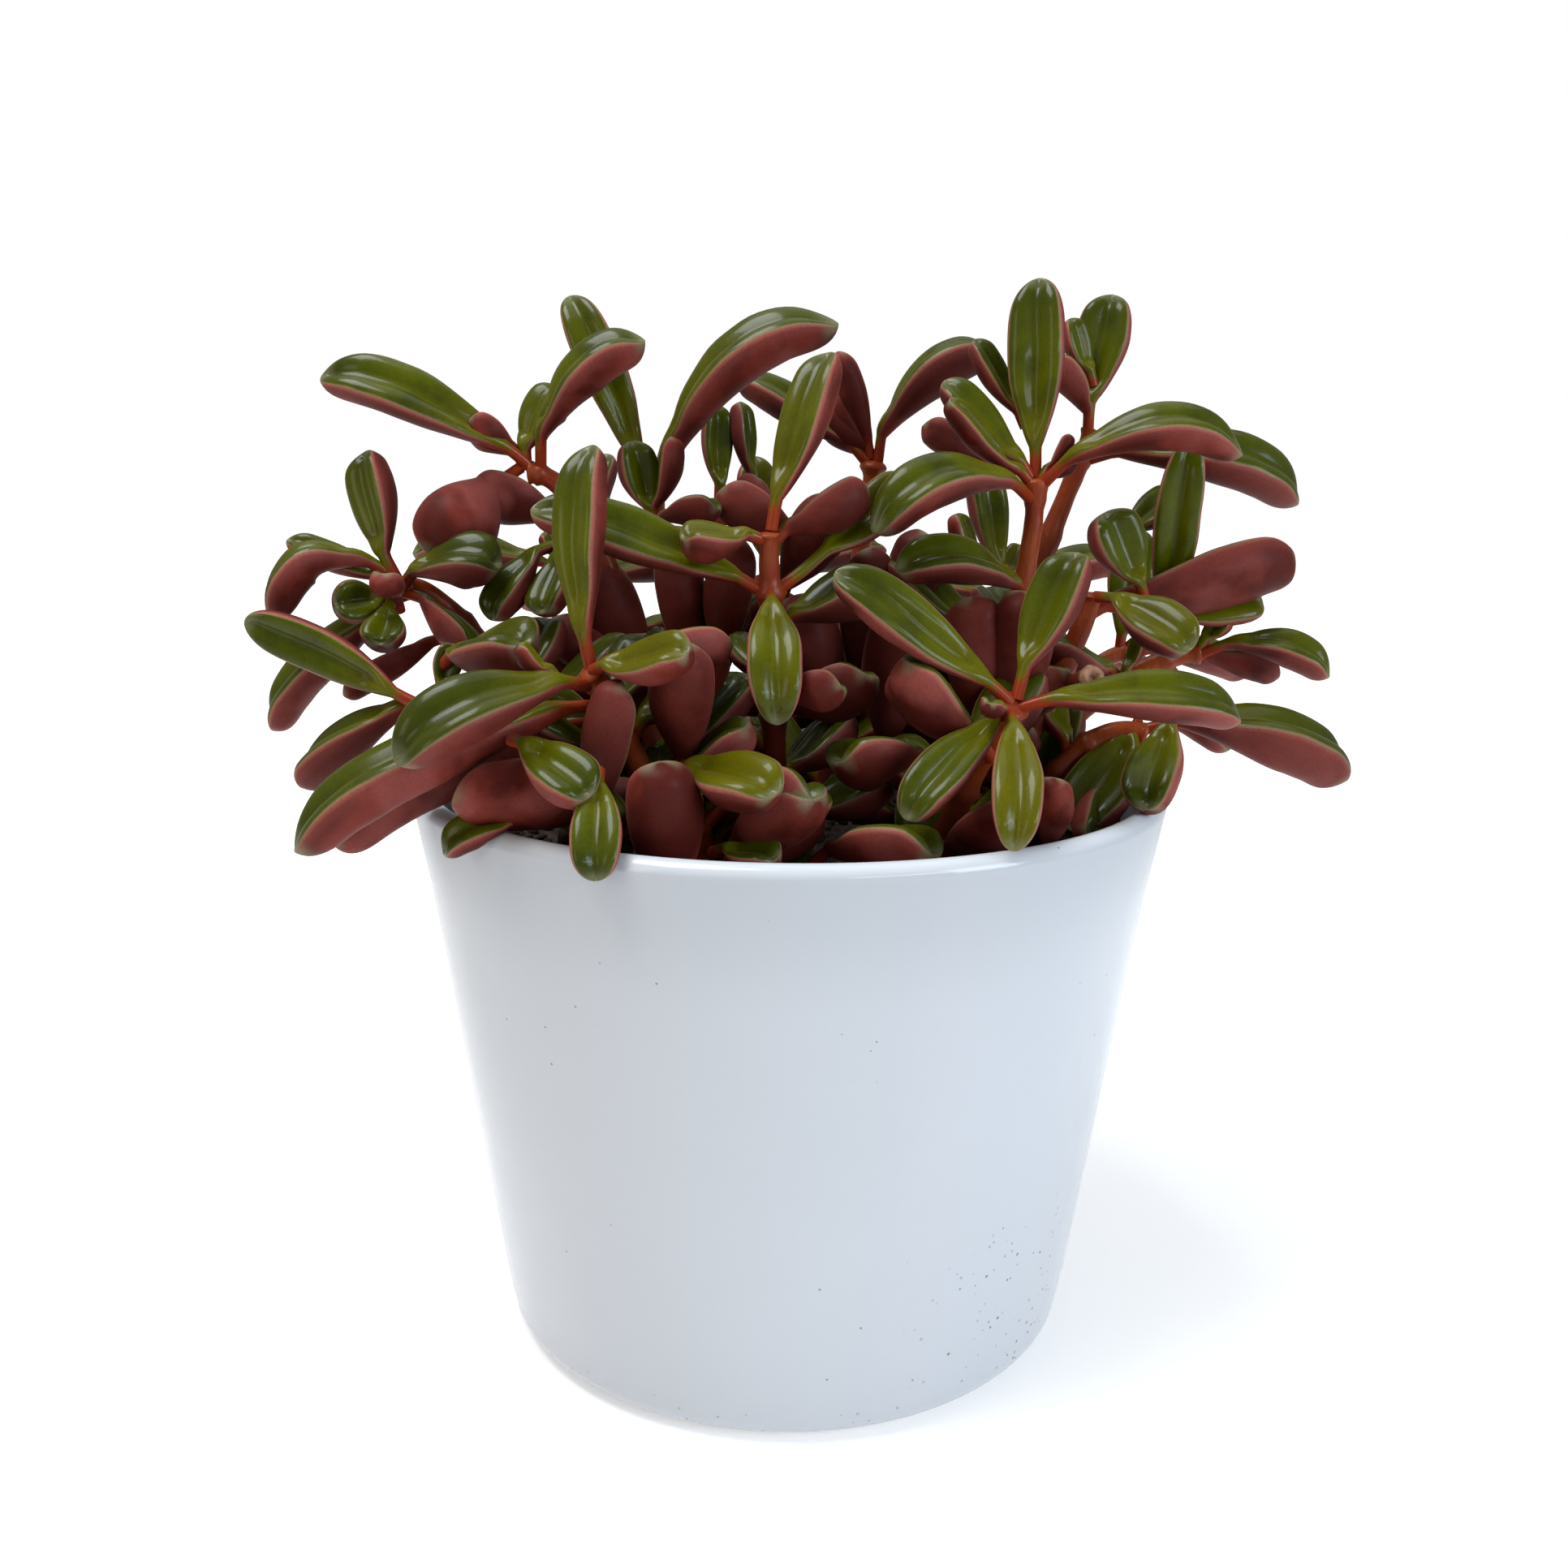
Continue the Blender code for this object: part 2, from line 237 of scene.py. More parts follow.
# Painted shade: a darker band below the lip, where the overhanging leaves shade the pot.
under_lip_painted_shade = multiplied(tree, spread(tree, height_of, 0.078, 0.098), spread(tree, lip_share, 1, 0))
colour = blended(tree, multiplied(tree, under_lip_painted_shade, 0.6), colour, GLAZE_UNDER_LIP_SHADE)
from_patch = node_in(tree, "ShaderNodeVectorMath", {0: place, 1: GRIT_PATCH}, operation="DISTANCE")
patch = spread(tree, from_patch.outputs["Value"], 0.030, 0.012)
foot_band = spread(tree, height_of, 0.009, 0.002, 0.0, 0.8)
gritted = node_in(tree, "ShaderNodeMath", {0: patch, 1: foot_band}, operation="MAXIMUM").outputs["Value"]
grit = node_in(
    tree, "ShaderNodeTexVoronoi", {"Vector": place, "Scale": GRIT_PER_METRE}).outputs["Distance"]
gritty = multiplied(tree, patches(tree, place, 160, 2, 0.5, 0.47, 0.56), gritted)
pits = multiplied(tree, spread(tree, grit, 0.18, 0.12), gritty)
colour = blended(tree, multiplied(tree, pits, 0.9), colour, PINHOLE)
bare = spread(tree, height_of, 0.0005, 0.0001)
colour = blended(tree, bare, colour, BARE_CLAY)
tree.links.new(colour, shader.inputs["Base Color"])
ripple = mottle(tree, place, 9, 3)
orange_peel = mottle(tree, place, 260, 2)
skin = raised(tree, ripple, 0.0022, 0.35)
skin = raised(tree, orange_peel, 0.00006, 0.5, skin)
tree.links.new(skin, shader.inputs["Normal"])
grain = patches(tree, place, 60, 3, 0.5, 0.3, 0.8, 0.05, 0.11)
roughness = node_in(tree, "ShaderNodeMath", operation="MAXIMUM")
tree.links.new(grain, roughness.inputs[0])
tree.links.new(multiplied(tree, bare, 0.85), roughness.inputs[1])
tree.links.new(roughness.outputs["Value"], shader.inputs["Roughness"])
shader.inputs["Specular IOR Level"].default_value = 0.3
piece_from(turned(pot_outline, POT_TURNS), "glazed_cover_pot", "glaze", glaze, "pot")


# Grow pot: the thin thermoformed pot that the plant was raised in. It is brown-black
# polypropylene with a rolled rim, and drain holes punched through its floor.
GROW_POT_BASE_RADIUS = 43.0
GROW_POT_TOP_RADIUS = 58.5
GROW_POT_RIM_RADIUS = 61.0
GROW_POT_TOP = 98.0
GROW_POT_WALL = 1.2
GROW_POT_FLAT = 18.0
GROW_POT_GAP = 0.4
GROW_POT_TURNS = 96
GROW_POT_HOLES = 6
GROW_POT_HOLE_RADIUS = 4.0
GROW_POT_HOLE_REACH = 28.4
GROW_PLASTIC = (0.035, 0.016, 0.012)
GROW_PLASTIC_DUSTY = (0.085, 0.055, 0.042)

plastic, tree, shader = new_material("grow_pot_plastic", 0.45)
place = object_place(tree)
dust = patches(tree, place, 90, 6, 0.65, 0.45, 0.75)
tree.links.new(blended(tree, dust, GROW_PLASTIC, GROW_PLASTIC_DUSTY), shader.inputs["Base Color"])
tree.links.new(spread(tree, dust, 0, 1, 0.35, 0.7), shader.inputs["Roughness"])
tree.links.new(raised(tree, mottle(tree, place, 700, 2), 0.0001, 0.4), shader.inputs["Normal"])

low = POT_FLOOR + GROW_POT_GAP
wall = GROW_POT_WALL
top = GROW_POT_TOP
outside = [
    (0, low), (GROW_POT_FLAT, low),
    (GROW_POT_BASE_RADIUS - 2, low), (GROW_POT_BASE_RADIUS - 0.5, low + 0.6),
    (GROW_POT_BASE_RADIUS, low + 2), (GROW_POT_TOP_RADIUS - 0.8, top - 5),
]
rolled_rim = [
    (GROW_POT_RIM_RADIUS - 0.3, top - 4.3), (GROW_POT_RIM_RADIUS, top - 3.8),
    (GROW_POT_RIM_RADIUS, top - 0.8), (GROW_POT_RIM_RADIUS - 0.3, top - 0.2),
    (GROW_POT_RIM_RADIUS - 0.9, top), (GROW_POT_TOP_RADIUS - wall + 0.3, top),
]
inside = [
    (GROW_POT_TOP_RADIUS - wall, top - 0.4), (GROW_POT_BASE_RADIUS - wall, low + wall + 1),
    (GROW_POT_BASE_RADIUS - wall - 1, low + wall), (GROW_POT_FLAT, low + wall), (0, low + wall),
]
bm = turned(outside + rolled_rim + inside, GROW_POT_TURNS)
plastic_pot = piece_from(bm, "plastic_grow_pot", "grow_pot_plastic", plastic, "grow_pot")
bm = bmesh.new()
for hole in range(GROW_POT_HOLES):
    angle = math.tau * (hole + 0.5) / GROW_POT_HOLES
    punch = bmesh.ops.create_cone(
        bm, cap_ends=True, segments=24, radius1=GROW_POT_HOLE_RADIUS,
        radius2=GROW_POT_HOLE_RADIUS, depth=4)["verts"]
    reach = (GROW_POT_HOLE_REACH * math.cos(angle), GROW_POT_HOLE_REACH * math.sin(angle), low)
    bmesh.ops.translate(bm, verts=punch, vec=reach)
bmesh.ops.scale(bm, verts=bm.verts, vec=(MM, MM, MM))
punch_mesh = bpy.data.meshes.new("punch")
bm.to_mesh(punch_mesh)
bm.free()
punch = bpy.data.objects.new("punch", punch_mesh)
bpy.context.scene.collection.objects.link(punch)
boolean = plastic_pot.modifiers.new("drain_holes", "BOOLEAN")
boolean.object = punch
boolean.operation = "DIFFERENCE"
boolean.solver = "EXACT"
with bpy.context.temp_override(object=plastic_pot, active_object=plastic_pot):
    bpy.ops.object.modifier_apply(modifier=boolean.name)
bpy.data.objects.remove(punch, do_unlink=True)


# Soil: fine dark peat pressed round the roots, with crumbs and bits of bark lying loose
# on top. It fills the grow pot from its floor to a finger's breadth below the rim.
SOIL_TOP = 91.0
SOIL_BOTTOM = 8.0
SOIL_EDGE = 55.3
SOIL_RINGS = 30
SOIL_TURNS = 120
SOIL_DOME = 2.0
SOIL_LUMP = 0.8
CRUMBS = 700
PEAT = (0.030, 0.018, 0.012)
PEAT_DRY = (0.085, 0.052, 0.034)

peat, tree, shader = new_material("dark_peat", 0.92)
place = object_place(tree)
fibres = mottle(tree, place, 420, 6, 0.7)
tree.links.new(
    blended(tree, spread(tree, fibres, 0.4, 0.7), PEAT, PEAT_DRY), shader.inputs["Base Color"])
tree.links.new(spread(tree, fibres, 0.3, 0.7, 0.98, 0.8), shader.inputs["Roughness"])
tree.links.new(raised(tree, fibres, 0.0006, 0.8), shader.inputs["Normal"])


def soil_height(x, y):
    """The crumbly top of the soil: a low dome with lumps."""
    radius = math.hypot(x, y) / GROW_POT_TOP_RADIUS
    lump = noise.noise(Vector((x, y, 0)) * 0.13)
    return SOIL_TOP + SOIL_DOME * (1 - radius * radius) + SOIL_LUMP * lump


root_ball = [(0, SOIL_BOTTOM), (20, SOIL_BOTTOM), (40.1, SOIL_BOTTOM), (SOIL_EDGE - 2, 80)]
surface = [(SOIL_EDGE * step / SOIL_RINGS, SOIL_TOP) for step in range(SOIL_RINGS, -1, -1)]
bm = turned(root_ball + surface, SOIL_TURNS)
for vert in bm.verts:
    if vert.co.z > SOIL_TOP - 1:
        fine = noise.fractal(vert.co * 0.35, 1.0, 2.0, 4)
        vert.co.z = soil_height(vert.co.x, vert.co.y) + 0.5 * fine
piece_from(bm, "peat_soil", "soil", peat, "soil")

chance = random.Random(11)
bm = bmesh.new()
for crumb in range(CRUMBS):
    angle = chance.uniform(0, math.tau)
    reach = (SOIL_EDGE - 2) * math.sqrt(chance.random())
    x = reach * math.cos(angle)
    y = reach * math.sin(angle)
    size = chance.uniform(0.35, 1.3)
    grain = bmesh.ops.create_icosphere(bm, subdivisions=1, radius=size)["verts"]
    for vert in grain:
        vert.co *= 1 + 0.5 * noise.noise(vert.co * 1.7 + Vector((crumb, 0, 0)))
        vert.co.z *= 0.7
    bmesh.ops.translate(bm, verts=grain, vec=(x, y, soil_height(x, y) + size * 0.3))
piece_from(bm, "peat_crumbs", "soil", peat)


# Stems: fleshy jointed shoots that rise from the soil and lean outwards under the leaves.
# They are orange-red, semi-gloss and knobbly, with a brown ring where each old leaf fell.
PLANTED_DEPTH = 9.0
STEM_FOOT_RADIUS = 2.4
STEM_TOP_RADIUS = 1.6
STEM_SIDES = 20
STEM_RINGS = 60
OLD_JOINTS = [0.28, 0.45, 0.62]
JOINT_SWELL = 0.55
JOINT_LENGTH = 0.022
STEM_RED = (0.190, 0.022, 0.005)
STEM_ORANGE = (0.240, 0.042, 0.006)
# Painted shade for the low part of each stem, down inside the clump.
STEM_PAINTED_SHADE = (0.085, 0.016, 0.010)
SCAR_BROWN = (0.150, 0.075, 0.035)

# A shoot is its name, its foot on the soil, its elbow half-way up, its growing tip, and its
# leaves. A leaf is its height up the stem, its own tip, the blade's width, the arch of its
# back, its roll, where 0 turns its face up and a little to the front, and its tone, from -1
# for young yellow-green to 1 for dark green. Above 0 the tone is partly the leaf's age and
# partly painted shade for leaves that lie in the clump's shadow.
SHOOTS = (
    ("centre", (-2, -14), (-3, -21, 122), (-4, -25, 150), (
        (1.00, (5, -15, 181), 9, 3, -20, -0.3),
        (0.79, (-43, -27, 155), 9.5, 3, -28, 0.1),
        (0.79, (-2, -47, 121), 8.5, 8, 0, -0.4),
    )),
    ("front_left", (-16, -24), (-25, -34, 112), (-32, -42, 129), (
        (0.97, (-33, -33, 165), 9, 5, -42, -0.1),
        (0.90, (-60, -60, 118), 11.5, 9, -10, 0.7),
        (0.78, (-79, -52, 103), 12.5, 9, 8, 0.4),
    )),
    ("far_left", (-30, 0), (-55, -3, 126), (-69, -10, 139), (
        (1.00, (-77, -6, 163), 9.5, 2, -70, 0.2),
        (0.95, (-93, -16, 134), 10, 13, 12, 0.1),
    )),
    ("low_left", (-32, -14), (-47, -20, 115), (-62, -27, 120), (
        (1.00, (-92, -25, 134), 7.8, -2, -75, 0.0),
        (0.90, (-87, -20, 106), 10.5, 6, 2, 0.4),
    )),
    ("upper_left", (-22, 3), (-33, 1, 140), (-48, 0, 159), (
        (0.98, (-84, -4, 177), 10, 7, -28, 0.0),
        (0.93, (-26, -6, 184), 11, 9, 5, 0.0),
    )),
    ("tall_left", (-12, 14), (-20, 12, 130), (-27, 8, 156), (
        (0.98, (-42, 12, 192), 8, 5, -40, -0.2),
        (0.92, (8, 0, 188), 12.5, 14, 2, 0.2),
    )),
    ("back_middle", (6, 24), (12, 27, 130), (16, 28, 162), (
        (0.97, (-11, 30, 179), 9, 4, 0, -0.2),
        (0.97, (38, 24, 186), 12.5, 9, -18, 0.3),
    )),
    ("tall_right", (20, 0), (38, -4, 126), (43, -5, 159), (
        (1.00, (42, -2, 194), 10, 2, -28, 0.2),
        (0.97, (79, -12, 165), 10, 12, 8, 0.1),
        (0.93, (12, -24, 151), 10.5, 12, -10, 0.2),
    )),
    ("back_right", (26, 18), (46, 16, 138), (57, 18, 168), (
        (0.99, (60, 22, 194), 10, 1, -10, 0.3),
        (0.86, (99, 15, 156), 12.5, 11, 12, 0.5),
    )),
    ("right", (34, 4), (54, 4, 115), (77, 4, 127), (
        (0.86, (71, -2, 166), 8, 1, -5, -0.1),
        (0.98, (100, -4, 125), 8.5, 7, 5, -0.2),
    )),
    ("right_middle", (28, -8), (47, -6, 120), (54, -6, 139), (
        (0.97, (68, -25, 132), 10, 4, 18, -0.5),
    )),
    ("front_right", (22, -22), (30, -32, 110), (36, -40, 124), (
        (0.97, (7, -42, 146), 9, 3, -30, -0.1),
        (1.00, (45, -34, 149), 9.5, 2, -15, 0.4),
        (0.96, (74, -38, 123), 9.5, 7, 12, 0.0),
        (0.92, (33, -64, 106), 7.5, 6, 0, -0.7),
    )),
    ("low_right", (36, -12), (50, -11, 109), (64, -11, 114), (
        (0.97, (102, -14, 109), 14.5, 9, -8, 0.6),
    )),
    ("front_low", (-10, -34), (-14, -39, 100), (-18, -43, 114), (
        (0.75, (-54, -48, 111), 13.5, 5, 60, 0.0),
        (0.60, (6, -53, 113), 14, 5, -50, 0.5),
    )),
    ("back_left", (-24, 28), (-38, 38, 118), (-48, 46, 138), (
        (0.98, (-80, 40, 144), 10, 5, 0, 0.0),
        (0.98, (-40, 50, 164), 9, 3, 0, 0.1),
        (0.90, (-62, 76, 130), 10, 6, 0, 0.2),
    )),
    ("back_centre", (-2, 38), (-4, 50, 116), (-6, 58, 137), (
        (0.98, (-8, 52, 163), 9, 3, 0, -0.2),
        (0.90, (-10, 88, 126), 10, 6, 0, 0.1),
    )),
    ("back_corner", (28, 34), (38, 46, 116), (46, 52, 136), (
        (0.98, (74, 62, 142), 10, 5, 0, 0.2),
        (0.90, (50, 84, 122), 10, 6, 0, 0.0),
    )),
    ("far_right", (40, 19), (54, 24, 113), (68, 28, 124), (
        (0.98, (97, 38, 120), 9.5, 6, 0, 0.1),
    )),
)


def stem_point(shoot, share):
    """A point on the stem's middle line, which passes through the elbow half-way up."""
    foot = Vector((*shoot[1], SOIL_TOP - PLANTED_DEPTH))
    elbow = Vector(shoot[2])
    tip = Vector(shoot[3])
    control = elbow * 2 - (foot + tip) / 2
    return foot.lerp(control, share).lerp(control.lerp(tip, share), share)


def stem_direction(shoot, share):
    ahead = stem_point(shoot, min(share + 0.01, 1))
    behind = stem_point(shoot, max(share - 0.01, 0))
    return (ahead - behind).normalized()


def drawn_out(bm, sides, rings, place):
    """Add a ball drawn out into a long form, each point of it put at place(along, around). For
    the material, along runs from 0 to 1 at the tip, and across from -1 below to 1 above."""
    along_layer = bm.verts.layers.float["along"]
    across_layer = bm.verts.layers.float["across"]
    ball = bmesh.ops.create_uvsphere(bm, u_segments=sides, v_segments=rings, radius=1)["verts"]
    for vert in ball:
        along = (1 - max(-1, min(1, vert.co.z))) / 2
        around = math.atan2(vert.co.y, vert.co.x)
        vert[along_layer] = along
        vert[across_layer] = math.sin(around)
        vert.co = place(along, around)
    return ball


def plant_bmesh():
    bm = bmesh.new()
    for layer in ("along", "across", "tone"):
        bm.verts.layers.float.new(layer)
    return bm


def grow_stem(bm, shoot, joints):
    """A stem from its foot to its growing tip, a little thicker at each old leaf joint."""
    offset = Vector((len(shoot[0]) * 7.0, shoot[1][0], shoot[1][1]))

    def place(along, around):
        axis = stem_direction(shoot, along)
        side = axis.cross(Vector((0, 1, 0))).normalized()
        front = axis.cross(side)
        radius = STEM_FOOT_RADIUS + (STEM_TOP_RADIUS - STEM_FOOT_RADIUS) * along
        for joint in joints:
            radius += JOINT_SWELL * math.exp(-((along - joint) / JOINT_LENGTH) ** 2)
        radius *= 0 if along < 0.0001 or along > 0.9999 else min(1, math.sqrt((1 - along) / 0.01))
        middle = stem_point(shoot, along)
        out = side * math.cos(around) + front * math.sin(around)
        swell = 1 + 0.14 * noise.noise((middle + out) * 0.25 + offset)
        return middle + out * radius * swell

    drawn_out(bm, STEM_SIDES, STEM_RINGS, place)


stem_skin, tree, shader = new_material("fleshy_red_stem", 0.42)
place = object_place(tree)
along = node_in(tree, "ShaderNodeAttribute", attribute_name="along").outputs["Fac"]
blush = patches(tree, place, 120, 4, 0.6, 0.35, 0.65)
colour = blended(tree, blush, STEM_RED, STEM_ORANGE)
# Painted shade: each stem darkens towards its foot, where it stands in the clump's shadow.
shade = spread(tree, along, 0.85, 0.25)
colour = blended(tree, multiplied(tree, shade, 0.75), colour, STEM_PAINTED_SHADE)
scar = patches(tree, place, 330, 5, 0.7, 0.62, 0.74)
colour = blended(tree, multiplied(tree, scar, 0.7), colour, SCAR_BROWN)
tree.links.new(colour, shader.inputs["Base Color"])
tree.links.new(spread(tree, scar, 0, 1, 0.34, 0.6), shader.inputs["Roughness"])
shader.inputs["Specular IOR Level"].default_value = 0.22
wrinkle = mottle(tree, object_place(tree, (1, 1, 0.35)), 900, 3)
tree.links.new(raised(tree, wrinkle, 0.00025, 0.6), shader.inputs["Normal"])

for shoot in SHOOTS:
    bm = plant_bmesh()
    joints = [leaf[0] for leaf in shoot[4]] + OLD_JOINTS
    grow_stem(bm, shoot, joints)
    piece_from(bm, shoot[0] + "_stem", "stem", stem_skin, "stem_" + shoot[0])


# Pruned shoot: a short stub low on the right, cut long ago, with a dry tan ring of healed skin
# round its hollow end. It is the same red stem, and only its end is bare.
STUB_START = Vector((50, -8, 122))
STUB_END = Vector((52.6, -18, 125.4))
STUB_RADIUS = 2.1
STUB_HOLLOW = 0.9
STUB_TURNS = 28
STUB_UNEVEN = 0.07
HEALED_TAN = (0.330, 0.170, 0.085)
HEALED_BROWN = (0.150, 0.060, 0.028)

scar_skin, tree, shader = new_material("healed_stem_scar", 0.6)
place = object_place(tree)
grain = mottle(tree, place, 700, 4, 0.6)
tree.links.new(
    blended(tree, spread(tree, grain, 0.35, 0.7), HEALED_TAN, HEALED_BROWN),
    shader.inputs["Base Color"])
tree.links.new(raised(tree, grain, 0.0003, 0.7), shader.inputs["Normal"])


def turned_on_stub(profile):
    """Turn (radius, share of the stub's length) points round the stub's axis, a little uneven."""
    bm = turned(profile, STUB_TURNS)
    bmesh.ops.holes_fill(bm, edges=bm.edges, sides=0)
    axis = (STUB_END - STUB_START).normalized()
    side = axis.cross(Vector((0, 0, 1))).normalized()
    front = axis.cross(side)
    for vert in bm.verts:
        middle = STUB_START.lerp(STUB_END, vert.co.z)
        radius = math.hypot(vert.co.x, vert.co.y)
        out = (side * vert.co.x + front * vert.co.y) / radius
        vert.co = middle + out * radius * (1 + STUB_UNEVEN * noise.noise(out * 2.3 + middle))
    return bm


stub_side = [(STUB_RADIUS * 0.9, 0), (STUB_RADIUS * 0.95, 0.3), (STUB_RADIUS, 0.85)]
piece_from(turned_on_stub(stub_side), "pruned_shoot_stub", "stem", stem_skin)
scar_ring = [
    (STUB_RADIUS * 1.02, 0.80),
    (STUB_RADIUS * 1.10, 0.92),
    (STUB_RADIUS * 0.92, 1.00),
    (STUB_RADIUS * 0.70, 1.02),
    (STUB_HOLLOW, 0.99),
    (STUB_HOLLOW * 0.7, 0.90),
]
piece_from(turned_on_stub(scar_ring), "pruned_shoot_scar", "stem", scar_skin)


# Leaves: thick boat-shaped leaves, folded up along the middle, each on a short red stalk.
# The face is smooth glossy olive green, and the deep round belly is velvety wine red.
LEAF_SIDES = 32
LEAF_RINGS = 40
STALK_LENGTH = 5.0
STALK_RADIUS = 1.05
STALK_ROOT = 0.8
BLADE_WIDEST = 0.60
FOLD_DEPTH = 0.36
HALF_CROWN = 0.07
MARGIN_ROUND = 0.26
KEEL_DEPTH = 1.36
TIP_NOTCH = 0.16
NOTCH_START = 0.86
TIP_DROOP = 0.22
DROOP_START = 0.78
SWAY = 0.035
TWIST = 9.0
WAVE = 0.22
FACE_UP = Vector((0, -0.35, 1))
FACE_GREEN = (0.072, 0.082, 0.0)
FACE_DARK = (0.027, 0.035, 0.001)
FACE_YELLOW = (0.102, 0.092, 0.0)
FACE_PALE = (0.190, 0.190, 0.105)
MARGIN_PINK = (0.270, 0.078, 0.054)
BELLY_RED = (0.158, 0.024, 0.016)
BELLY_DARK = (0.066, 0.009, 0.006)
BELLY_PINK = (0.245, 0.060, 0.050)
BELLY_SHADED = (0.080, 0.013, 0.009)
STALK_RED = (0.230, 0.026, 0.006)
leaf_chance = random.Random(23)


def side_swell(blade, bluntness):
    """Share of the full size along the blade: a slow rise, then a blunt round tip."""
    if blade < BLADE_WIDEST:
        return math.sin(math.pi / 2 * blade / BLADE_WIDEST) ** 0.9
    rest = (blade - BLADE_WIDEST) / (1 - BLADE_WIDEST)
    return math.sqrt(max(0, 1 - rest ** bluntness))


def grow_leaf(bm, base, tip, width, arch, roll, tone, stalk=STALK_LENGTH, up=FACE_UP, coarse=1):
    """A stalk, then a blade whose two halves fold up over a deep keel and part at the tip."""
    tip = Vector(tip)
    base = Vector(base)
    chord = tip - base
    length = chord.length
    chord.normalize()
    stalk_share = min(0.45, stalk / length)
    face = (up - chord * up.dot(chord)).normalized()
    turn = math.radians(roll)
    face = face * math.cos(turn) + chord.cross(face) * math.sin(turn)
    across = chord.cross(face)
    sway = across * leaf_chance.uniform(-SWAY, SWAY) * length
    twist = math.radians(leaf_chance.uniform(-TWIST, TWIST))
    first = base + chord * length * 0.35 + face * arch * 0.9 + sway
    second = base + chord * length * 0.7 + face * arch * 1.3 + sway

    def place(along, around):
        start = base.lerp(first, along)
        middle = first.lerp(second, along)
        end = second.lerp(tip, along)
        near = start.lerp(middle, along)
        far = middle.lerp(end, along)
        spine = near.lerp(far, along)
        heading = (far - near).normalized()
        upward = across.cross(heading).normalized()
        turned_by = twist * (along - 0.4)
        side_way = across * math.cos(turned_by) + upward * math.sin(turned_by)
        upward = side_way.cross(heading)
        blade = max(0, (along - stalk_share) / (1 - stalk_share))
        closed = 0 if along < 0.0001 or along > 0.9999 else 1
        stalk_thick = STALK_RADIUS * (1 - blade) ** 2
        half = (stalk_thick + (width / 2) * side_swell(blade, 2.7)) * closed
        keel = (stalk_thick + KEEL_DEPTH * (width / 2) * side_swell(blade, 3.6)) * closed
        side = math.cos(around)
        rise = math.sin(around)
        reach = abs(side)
        flatness = min(1, blade * 6)
        margin = MARGIN_ROUND * half
        if rise >= 0:
            groove = -FOLD_DEPTH * (1 - reach) ** 1.8 + HALF_CROWN * math.sin(math.pi * reach)
            edge_drop = MARGIN_ROUND * (1 - math.sqrt(max(0, 1 - reach ** 4)))
            lift = half * (groove - edge_drop) * flatness + half * rise * (1 - flatness)
        else:
            lift = -margin * flatness - (keel - margin * flatness) * abs(rise) ** 0.92
        near_tip = max(0, (blade - DROOP_START) / (1 - DROOP_START)) ** 2
        lift -= TIP_DROOP * width * near_tip
        dent = max(0, (blade - NOTCH_START) / (1 - NOTCH_START)) ** 2
        if along > 0.9999:
            reach = 0.3
        notch = TIP_NOTCH * width * dent * (1 - reach) ** 2 * max(0, rise)
        return spine + side_way * half * side + upward * lift - heading * notch

    grown = drawn_out(bm, LEAF_SIDES // coarse, LEAF_RINGS // coarse, place)
    tone_layer = bm.verts.layers.float["tone"]
    for vert in grown:
        vert[tone_layer] = tone
        here = vert.co * 0.16 + Vector((tone * 40, 0, 0))
        wave = Vector([noise.noise(here + Vector((0, 0, apart))) for apart in (0, 31, 67)])
        vert.co += wave * WAVE


def leaf_base(shoot, height, tip):
    """Where a leaf's stalk leaves the stem: just under its skin, on the side it points to."""
    middle = stem_point(shoot, height)
    axis = stem_direction(shoot, height)
    to_tip = Vector(tip) - middle
    outward = to_tip - axis * to_tip.dot(axis)
    return middle + outward.normalized() * STALK_ROOT


leaf_skin, tree, shader = new_material("two_tone_leaf", 0.35)
place = object_place(tree)
along = node_in(tree, "ShaderNodeAttribute", attribute_name="along").outputs["Fac"]
across = node_in(tree, "ShaderNodeAttribute", attribute_name="across").outputs["Fac"]
tone = node_in(tree, "ShaderNodeAttribute", attribute_name="tone").outputs["Fac"]
cloud = mottle(tree, place, 95, 3, 0.55)
fleck = mottle(tree, place, 2200, 2, 0.6)
wobble = node_in(tree, "ShaderNodeMath", {0: cloud, 1: 0.5}, operation="SUBTRACT").outputs[0]
edge_wobble = multiplied(tree, wobble, 0.16)
across_here = node_in(tree, "ShaderNodeMath", {0: across, 1: edge_wobble}).outputs[0]
on_face = spread(tree, across_here, 0.36, 0.48)

green = blended(tree, spread(tree, cloud, 0.40, 0.72), FACE_GREEN, FACE_DARK)
# The tone darkens the leaf: partly its age, and partly painted shade for leaves deep in the clump.
age_and_painted_shade = spread(tree, tone, 0.0, 1.0)
green = blended(tree, multiplied(tree, age_and_painted_shade, 0.8), green, FACE_DARK)
toward_tip = spread(tree, along, 0.45, 0.95)
green = blended(tree, multiplied(tree, toward_tip, 0.55), green, FACE_DARK)
yellower = spread(tree, tone, 0.0, -1.0)
green = blended(tree, multiplied(tree, yellower, 0.9), green, FACE_YELLOW)
young_base = spread(tree, along, 0.55, 0.10)
green = blended(tree, multiplied(tree, young_base, 0.8), green, FACE_YELLOW)
pale_tip = spread(tree, along, 0.92, 1.0)
green = blended(tree, multiplied(tree, pale_tip, 0.45), green, FACE_PALE)
green = blended(tree, spread(tree, along, 0.16, 0.07), green, STALK_RED)

